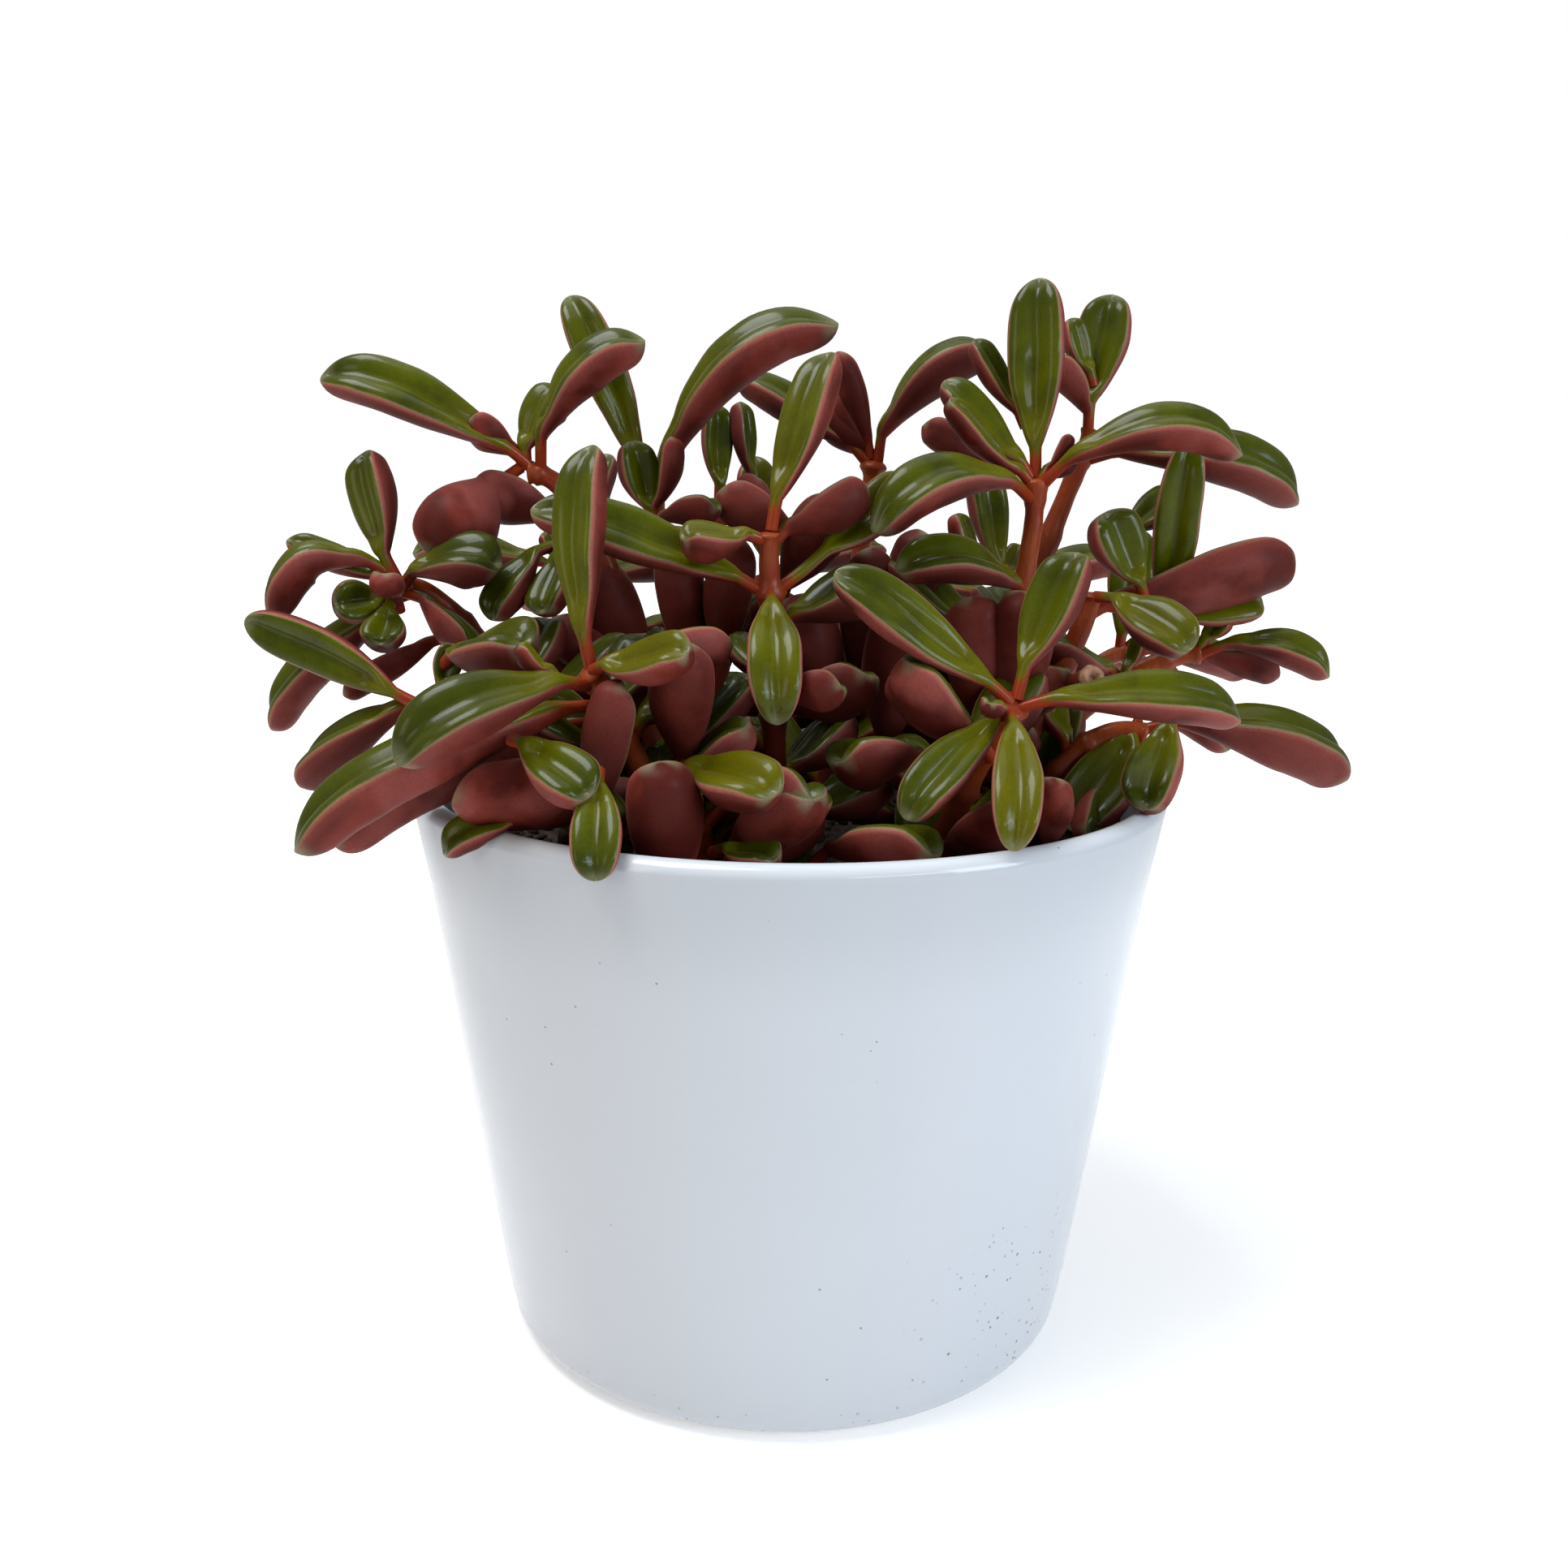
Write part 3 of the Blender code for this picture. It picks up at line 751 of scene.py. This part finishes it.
drift = mottle(tree, place, 58, 2, 0.4)
red = blended(tree, spread(tree, cloud, 0.40, 0.62), BELLY_RED, BELLY_DARK)
red = blended(tree, multiplied(tree, spread(tree, drift, 0.50, 0.60), 0.85), red, BELLY_DARK)
red = blended(tree, multiplied(tree, spread(tree, drift, 0.48, 0.38), 0.6), red, BELLY_PINK)
red = blended(tree, multiplied(tree, spread(tree, across_here, -0.35, 0.25), 0.75), red, BELLY_PINK)
near_rim = spread(tree, across_here, 0.0, 0.3)
red = blended(tree, near_rim, red, MARGIN_PINK)
red = blended(tree, spread(tree, along, 0.24, 0.08), red, STALK_RED)
red = blended(tree, multiplied(tree, age_and_painted_shade, 0.65), red, BELLY_SHADED)
tip_grey = multiplied(tree, spread(tree, along, 0.93, 0.99), spread(tree, across_here, -0.8, 0.0))
red = blended(tree, multiplied(tree, tip_grey, 0.6), red, FACE_PALE)

skin_colour = blended(tree, on_face, red, green)
# Painted highlight: a pale line along the rounded margin between the green face and the red belly.
rim_low = spread(tree, across_here, 0.26, 0.36)
rim_high = spread(tree, across_here, 0.52, 0.40)
margin_painted_highlight = multiplied(tree, rim_low, rim_high)
grown_part = spread(tree, along, 0.15, 0.4)
skin_colour = blended(
    tree, multiplied(tree, multiplied(tree, margin_painted_highlight, grown_part), 0.42), skin_colour, FACE_PALE)
flecks = spread(tree, fleck, 0.25, 0.75, 0.9, 1.08)
flecked = node_in(tree, "ShaderNodeCombineXYZ", {"X": flecks, "Y": flecks, "Z": flecks}).outputs[0]
skin_colour = blended(tree, 1.0, skin_colour, flecked, "MULTIPLY")
tree.links.new(skin_colour, shader.inputs["Base Color"])
tree.links.new(spread(tree, on_face, 0, 1, 0.50, 0.30), shader.inputs["Roughness"])
tree.links.new(spread(tree, on_face, 0, 1, 0.01, 0.21), shader.inputs["Coat Weight"])
shader.inputs["Coat Roughness"].default_value = 0.13
shader.inputs["Sheen Weight"].default_value = 0.03
shader.inputs["Sheen Roughness"].default_value = 0.45
shader.inputs["Sheen Tint"].default_value = (1.0, 0.45, 0.38, 1)
shader.inputs["Specular IOR Level"].default_value = 0.08
tree.links.new(raised(tree, fleck, 0.00009, 0.35), shader.inputs["Normal"])

for shoot in SHOOTS:
    for number, (height, tip, width, arch, roll, tone) in enumerate(shoot[4], 1):
        bm = plant_bmesh()
        grow_leaf(bm, leaf_base(shoot, height, tip), tip, width, arch, roll, tone)
        name = f"{shoot[0]}_leaf_{number}"
        piece_from(bm, name, "leaf", leaf_skin, f"leaf_{shoot[0]}_{number}")


# Young leaves: the smaller leaves and buds crowded round each growing tip and down inside
# the clump. Each set grows from its own shoot, and its leaves have the same two-tone skin.
YOUNG_STALK = 3.0

# A young leaf starts at a height up the stem, or at a point of its own inside the clump, and
# a seventh number makes its stalk longer by that much.
YOUNG_LEAVES = {
    "centre": (
        (0.79, (20, -12, 160), 8, 1, 30, -0.5, 8),
        (0.95, (12, -18, 159), 10, 2, -50, 0.6),
        (0.97, (-18, -31, 151), 9, 1, 0, -0.6),
        ((-2, 0, 136), (9, -8, 157), 11, 2, -70, 0.8),
        ((3, -6, 146), (-13, -8, 158), 10, 2, 50, 0.3),
        ((-25, -10, 149), (-12, -14, 155), 8, 3, -30, 0.9),
    ),
    "front_left": (
        (0.99, (-16, -54, 135), 8.5, 1, 25, -0.7),
        ((-59, -24, 127), (-42, -38, 135), 12.5, 3, 0, -0.2),
        (0.96, (-9, -35, 134), 9, 3, -40, -0.2),
        ((-43, -49, 119), (-29, -61, 114), 9.5, 2, 10, 0.3),
        ((-27, -38, 114), (-44, -40, 126), 9, 2, -30, 0.4),
        (0.72, (-75, -41, 101), 10.5, 6, 40, 0.5),
        ((-36, -44, 127), (-41, -46, 134), 4.5, 0, 20, -0.9),
    ),
    "far_left": (
        (0.88, (-97, -6, 113), 10, 6, -5, 0.3),
        (0.97, (-89, -9, 148), 5.5, 1, -15, -0.2),
        ((-70, -10, 137), (-78, -18, 137), 7.5, 0.5, -60, 0.2),
        ((-70, -12, 137), (-70.5, -21, 131), 7.5, 0.5, 0, 0.2),
        ((-69, -12, 135), (-70, -17, 143), 6, 0.5, 10, 0.2),
        (1.00, (-49, -16, 145), 12, 6, 8, 0.9),
        ((-68, -10, 138), (-54, -16, 130), 8, 2, -40, 0.2),
    ),
    "low_left": (
        ((-60, -26, 121), (-57, -24, 131), 4.5, 0.5, 40, 0.2),
        ((-61, -8, 130), (-80, -14, 121), 6, 2, 50, 0.5),
    ),
    "upper_left": (
        ((-49, 0, 160), (-66, -7, 143), 15, 3, 92, 0.1, 1),
        ((-40, 3, 149), (-59, 1, 158), 11, 3, 50, 0.2),
        (1.00, (-58, -2, 169), 7, 2, 60, -0.2),
        (1.00, (-42, 2, 176), 9.5, 4, -10, -0.2),
        ((-39, -1, 149), (-44, -17, 136), 8, 2, 20, 0.4, 5),
        ((-39, -1, 147), (-54, -14, 134), 8.5, 5, 10, 0.7, 5),
        (0.40, (-44, -6, 126), 9, 2, 180, 0.8),
        ((-40, 4, 111), (-43, 4, 134), 13, 1, 180, 1.0),
        (0.45, (-52, 12, 121), 10, 3, 0, 0.5),
        (0.30, (-44, 18, 104), 10, 3, 0, 0.5),
    ),
    "tall_left": (
        ((-25, -2, 150), (-28, -3, 165), 7.5, 0.5, 3, -0.1),
        ((-25, -2, 150), (-23, -3, 166), 6.5, 0.5, -60, -0.1),
        ((-14, 8, 149), (-6, 8, 159), 8, 1, -70, 0.3),
        ((-26, 4, 118), (-38, 3, 144), 12, 2, 130, 1.0),
        ((-18, 7, 118), (-24, 5, 148), 11, 2, 215, 0.9),
        ((-14, 4, 120), (-8, 2, 149), 11, 2, 150, 1.0),
        ((-14, 16, 154), (-14, 15, 172), 6, 1, 30, 0.2),
        ((-8, 17, 156), (-9, 17, 173), 6, 1, 60, 0.6),
        (0.35, (-38, 22, 118), 10, 3, 0, 0.4),
        (0.50, (-34, 30, 127), 10, 3, 0, 0.5),
        (0.22, (-30, 30, 104), 10, 4, 0, 0.3),
    ),
    "back_middle": (
        (1.00, (9, 26, 183), 5.5, 1, 100, 0.0),
        (0.98, (8, 30, 176), 7, 1, 60, 0.2),
        ((38, 18, 160), (25, 20, 170), 8, 2, 50, 0.3),
        ((17, 28, 160), (5, 30, 173), 8, 2, 60, 0.7),
        ((8, -4, 113), (0, -5, 139), 12, 2, 130, 1.0),
        ((14, 0, 115), (13, 1, 147), 11, 2, 215, 0.9),
        ((20, 2, 123), (25, 2, 150), 11, 2, 150, 1.0),
        ((26, 4, 115), (20, 4, 141), 11, 2, 170, 1.0),
    ),
    "tall_right": (
        (0.98, (28, -10, 173), 6.5, 0, -10, -0.5),
        (1.00, (27, -1, 177), 7.5, 2, -10, 0.3),
        ((42, -4, 138), (17, -20, 145), 10, 8, -15, 0.4),
        ((42, 2, 168), (33, 3, 184), 6, 1, 0, 0.3),
        ((34, -10, 112), (30, -14, 140), 12, 2, 180, 0.6),
        ((39, -12, 114), (41, -16, 141), 11, 2, 170, 0.7),
        ((17, -8, 108), (19, -10, 137), 11, 1, 180, 0.9),
        ((35, 0, 141), (31, 0, 153), 5.5, 0, 20, -0.4),
        (0.98, (48, -5, 167), 3.5, 0, -60, 0.0),
        (0.97, (49, -5, 163), 3.5, 0, -60, 0.0),
    ),
    "back_right": (
        (0.98, (49, 15, 183), 8, 3, 30, -0.2),
        ((57, 19, 176), (53, 19, 189), 6.0, 0.5, 0, 0.2),
    ),
    "right_middle": (
        (0.85, (93, 8, 147), 14, 3, -50, 0.5),
        ((63, -7, 138), (56, -9, 154), 10.5, 1, -30, 0.3),
        ((60, 4, 148), (72, 10, 158), 7, 1, 10, 0.5),
        ((66, 2, 134), (89, 4, 138), 9, 3, 40, -0.5),
    ),
    "right": (
        (0.92, (93, 4, 124), 8, 4, -20, 0.0),
        (0.98, (80, 1, 136), 5, 0.5, 30, -0.3),
        ((62, 2, 122), (64, 0, 131), 3, 0, 0, -0.2),
    ),
    "front_right": (
        (0.90, (17, -56, 109), 8, 4, -10, 0.4),
        ((24, -33, 112), (6, -43, 117), 13, 4, 30, 0.5),
        ((33, -36, 114), (20, -41, 133), 12.5, 1, 20, -0.3),
        ((34, -41, 123), (31, -47, 126), 4, 0, 0, -0.4),
        ((43, -34, 98), (42, -44, 114), 6.5, 0, 0, 0.0),
    ),
    "low_right": (
        ((67, -19, 119), (58, -36, 107), 9.5, 2, 20, 0.1),
        ((63, -8, 116), (48, -26, 101), 12, 2, 0, 1.0),
        ((58, -10, 104), (52, -30, 100), 9, 2, -50, 0.6),
    ),
    "front_low": (
        ((-19, -49, 91), (-20.5, -54, 118), 11.5, 1, 180, -0.2),
        (0.99, (-2, -61, 115), 10.5, 3, 12, -0.7),
        ((-29, -53, 115), (-28, -68, 102), 7.5, 3, 0, -0.1),
        ((-10, -42, 97), (4, -54, 114), 12, 4, -30, 0.3),
        ((-18, -36, 111), (-16, -41, 135), 11, 1, 180, 0.7),
        ((4, -42, 98), (24, -54, 105), 13, 5, -30, 0.4),
        ((-12, -48, 101), (-2, -57, 104), 7, 1, 0, 0.3),
        ((-40, -46, 105), (-55, -51, 101.5), 6.5, 5, -10, 0.2),
        ((-4, -38, 123), (9, -41, 128), 8, 2, -60, 0.5),
        ((-31, -42, 104), (-24, -46, 128), 10, 1, 170, 1.0),
        ((-34, -42, 112), (-27, -52, 106), 8, 2, 0, 1.0),
    ),
    "back_left": (
        (0.90, (-22, 66, 140), 9, 4, 0, 0.0),
        (0.75, (-56, 60, 112), 9, 4, 0, 0.3),
        (0.99, (-52, 44, 147), 5, 1, 0, -0.5),
        (0.70, (-66, 30, 116), 8.5, 3, 0, 0.3),
        (0.45, (-60, 22, 110), 10, 4, 0, 0.3),
        (0.30, (-46, 14, 104), 10, 4, 0, 0.5),
        (0.60, (-30, 58, 127), 9, 3, 0, 0.3),
        (0.35, (-40, 56, 108), 10, 4, 0, 0.4),
    ),
    "back_centre": (
        (0.92, (-34, 72, 146), 9, 4, 0, 0.0),
        (0.97, (22, 74, 144), 9.5, 4, 0, 0.1),
        (0.75, (8, 84, 112), 9, 5, 0, 0.3),
        (0.70, (-28, 84, 114), 9, 5, 0, 0.2),
        (0.99, (-4, 62, 147), 5, 1, 0, -0.6),
    ),
    "back_corner": (
        (0.98, (40, 50, 164), 9, 3, 0, 0.0),
        (0.88, (30, 84, 134), 9, 4, 0, 0.2),
        (0.75, (66, 74, 112), 9, 4, 0, 0.3),
        (0.99, (50, 56, 145), 5, 1, 0, -0.5),
    ),
    "far_right": (
        (0.96, (70, 32, 150), 9, 3, 0, 0.0),
        (0.85, (84, 54, 116), 9, 4, 0, 0.2),
        (0.75, (88, 14, 108), 9, 4, 0, 0.2),
        (0.99, (77, 30, 130), 4.5, 1, 0, -0.4),
    ),
}

shoot_called = {shoot[0]: shoot for shoot in SHOOTS}
for name, leaves in YOUNG_LEAVES.items():
    bm = plant_bmesh()
    for start, tip, width, arch, roll, tone, *longer_stalk in leaves:
        if isinstance(start, tuple):
            base = start
        else:
            base = leaf_base(shoot_called[name], start, tip)
        grow_leaf(bm, base, tip, width, arch, roll, tone, stalk=sum(longer_stalk, YOUNG_STALK))
    piece_from(bm, name + "_young_leaves", "leaf", leaf_skin)


# Inner leaves: the older leaves that fill the clump round the lower half of every stem. They
# stand up and outwards in turn round the stem with their faces inwards, and their dark tone is painted
# shade.
INNER_HEIGHTS = (0.12, 0.20, 0.28, 0.36, 0.44, 0.52, 0.60, 0.68)
INNER_ARCH = 1.5
GOLDEN_TURN = 137.5
STEM_TURN = 61.0
TOO_FAR_FORWARD = -0.6
TURNED_ASIDE = 80.0
CLUMP_REACH = 58.0
CLUMP_TOP = 147.0
CLUMP_SHOULDER = 110.0
CLUMP_TAPER = 0.45
BACK_START = 12.0
BACK_SIDE = 50.0
BACK_REACH = 80.0
BACK_TOP = 129.0
inner_chance = random.Random(5)
for number, shoot in enumerate(SHOOTS):
    bm = plant_bmesh()
    bearing = number * STEM_TURN
    for height in INNER_HEIGHTS:
        bearing += GOLDEN_TURN
        middle = stem_point(shoot, height)
        angle = math.radians(bearing)
        if math.sin(angle) < TOO_FAR_FORWARD:
            angle += math.radians(TURNED_ASIDE)
        reach = inner_chance.uniform(13, 21)
        rise = inner_chance.uniform(10, 20)
        width = inner_chance.uniform(9.5, 12)
        roll = inner_chance.uniform(-25, 25)
        # Painted shade: inner leaves get a dark tone because they sit in the clump's shadow.
        tone = inner_chance.uniform(0.2, 1)
        tip = middle + Vector((reach * math.cos(angle), reach * math.sin(angle), rise))
        furthest = CLUMP_REACH - CLUMP_TAPER * max(0, tip.z - CLUMP_SHOULDER)
        if tip.y > BACK_START and abs(tip.x) < BACK_SIDE and tip.z < BACK_TOP:
            furthest = BACK_REACH
        if math.hypot(tip.x, tip.y) > furthest or tip.z > CLUMP_TOP:
            continue
        base = leaf_base(shoot, height, tip)
        grow_leaf(
            bm, base, tip, width, INNER_ARCH, roll, tone,
            stalk=YOUNG_STALK, up=Vector((0, 0, 1)), coarse=2)
    piece_from(bm, shoot[0] + "_inner_leaves", "leaf", leaf_skin)


# Studio: a pale floor that runs on out of sight, a white room round it, and soft lamps
# above, to the left and to the right. The lens looks slightly down at the plant.
LENS_HEIGHT = 0.1613
LENS_DISTANCE = 0.2786
LENS_PITCH = 12.0
LENS_ROLL = 0.0104
LENS_LENGTH = 34.75
LENS_SHIFT = -0.0036
LENS_FILM_WIDTH = 36.0
FLOOR_HALF_SIDE = 3.0
FLOOR_PALE = (0.86, 0.86, 0.86)
FLOOR_PALER = (0.89, 0.89, 0.89)
FLOOR_FAR = (0.36, 0.36, 0.36)
FLOOR_GLOW_NEAR = 0.30
ROOM_GLOW = 0.28
WHITE = (1, 1, 1, 1)
COOL_WHITE = (0.95, 0.98, 1.0)
BLUE_WHITE = (0.70, 0.85, 1.0)
WARM_WHITE = (1.0, 0.88, 0.74)
# A lamp is its name, its place, the point it faces, its two sides, its power and its colour.
LAMPS = (
    ("overhead_lamp", (-0.30, -0.10, 0.90), (0, 0, 0.14), (0.50, 0.40), 7.2, COOL_WHITE),
    ("right_lamp", (0.90, -0.60, 0.45), (0, 0, 0.08), (0.4, 0.6), 6.5, BLUE_WHITE),
    ("left_lamp", (-0.8, -0.75, 0.42), (0, 0, 0.10), (0.35, 0.6), 2.0, WARM_WHITE),
    ("strip_lamp", (0.68, -0.73, 0.42), (0, 0, 0.10), (1.0, 0.05), 2.2, COOL_WHITE),
)
TOP_LIGHT_POWER = 0.8
TOP_LIGHT_ANGLE = 60.0
TOP_LIGHT_LEAN = -15.0

floor_finish, tree, shader = new_material("pale_studio_floor", 0.6)
place = object_place(tree)
pale = blended(tree, patches(tree, place, 3, 2, 0.5, 0.3, 0.7), FLOOR_PALE, FLOOR_PALER)
far_off = node_in(tree, "ShaderNodeVectorMath", {0: place}, operation="LENGTH").outputs["Value"]
tree.links.new(
    blended(tree, spread(tree, far_off, 0.20, 0.55), pale, FLOOR_FAR), shader.inputs["Base Color"])
shader.inputs["Emission Color"].default_value = WHITE
seen = node_in(tree, "ShaderNodeLightPath").outputs["Is Camera Ray"]
far_glow = multiplied(tree, spread(tree, far_off, 0.16, 0.45), seen)
tree.links.new(
    spread(tree, far_glow, 0, 1, FLOOR_GLOW_NEAR, 1.0), shader.inputs["Emission Strength"])
bm = bmesh.new()
bmesh.ops.create_grid(bm, x_segments=8, y_segments=8, size=FLOOR_HALF_SIDE)
floor_mesh = bpy.data.meshes.new("floor")
bm.to_mesh(floor_mesh)
bm.free()
floor_mesh.materials.append(floor_finish)
floor = bpy.data.objects.new("floor", floor_mesh)
bpy.context.scene.collection.objects.link(floor)

world = bpy.data.worlds.new("white_room")
world.use_nodes = True
tree = world.node_tree
walls = tree.nodes["Background"]
walls.inputs["Color"].default_value = WHITE
seen = node_in(tree, "ShaderNodeLightPath").outputs["Is Camera Ray"]
tree.links.new(spread(tree, seen, 0, 1, ROOM_GLOW, 1.0), walls.inputs["Strength"])
bpy.context.scene.world = world


for name, place, aim, size, power, colour in LAMPS:
    light = bpy.data.lights.new(name, "AREA")
    light.shape = "RECTANGLE"
    light.size = size[0]
    light.size_y = size[1]
    light.energy = power
    light.color = colour
    lamp = bpy.data.objects.new(name, light)
    facing = (Vector(aim) - Vector(place)).to_track_quat("-Z", "Y")
    lamp.matrix_world = Matrix.Translation(place) @ facing.to_matrix().to_4x4()
    bpy.context.scene.collection.objects.link(lamp)
light = bpy.data.lights.new("even_top_light", "SUN")
light.energy = TOP_LIGHT_POWER
light.angle = math.radians(TOP_LIGHT_ANGLE)
lamp = bpy.data.objects.new("even_top_light", light)
lamp.matrix_world = Matrix.Rotation(math.radians(TOP_LIGHT_LEAN), 4, "X")
bpy.context.scene.collection.objects.link(lamp)

camera_data = bpy.data.cameras.new("camera")
camera_data.sensor_width = LENS_FILM_WIDTH
camera_data.lens = LENS_LENGTH
camera_data.shift_x = LENS_SHIFT
camera_data.clip_start = 0.01
camera = bpy.data.objects.new("camera", camera_data)
looking = Matrix.Rotation(math.radians(90 - LENS_PITCH), 4, "X") @ Matrix.Rotation(LENS_ROLL, 4, "Z")
camera.matrix_world = Matrix.Translation((0, -LENS_DISTANCE, LENS_HEIGHT)) @ looking
bpy.context.scene.collection.objects.link(camera)
bpy.context.scene.camera = camera
bpy.context.scene.view_settings.view_transform = "Standard"
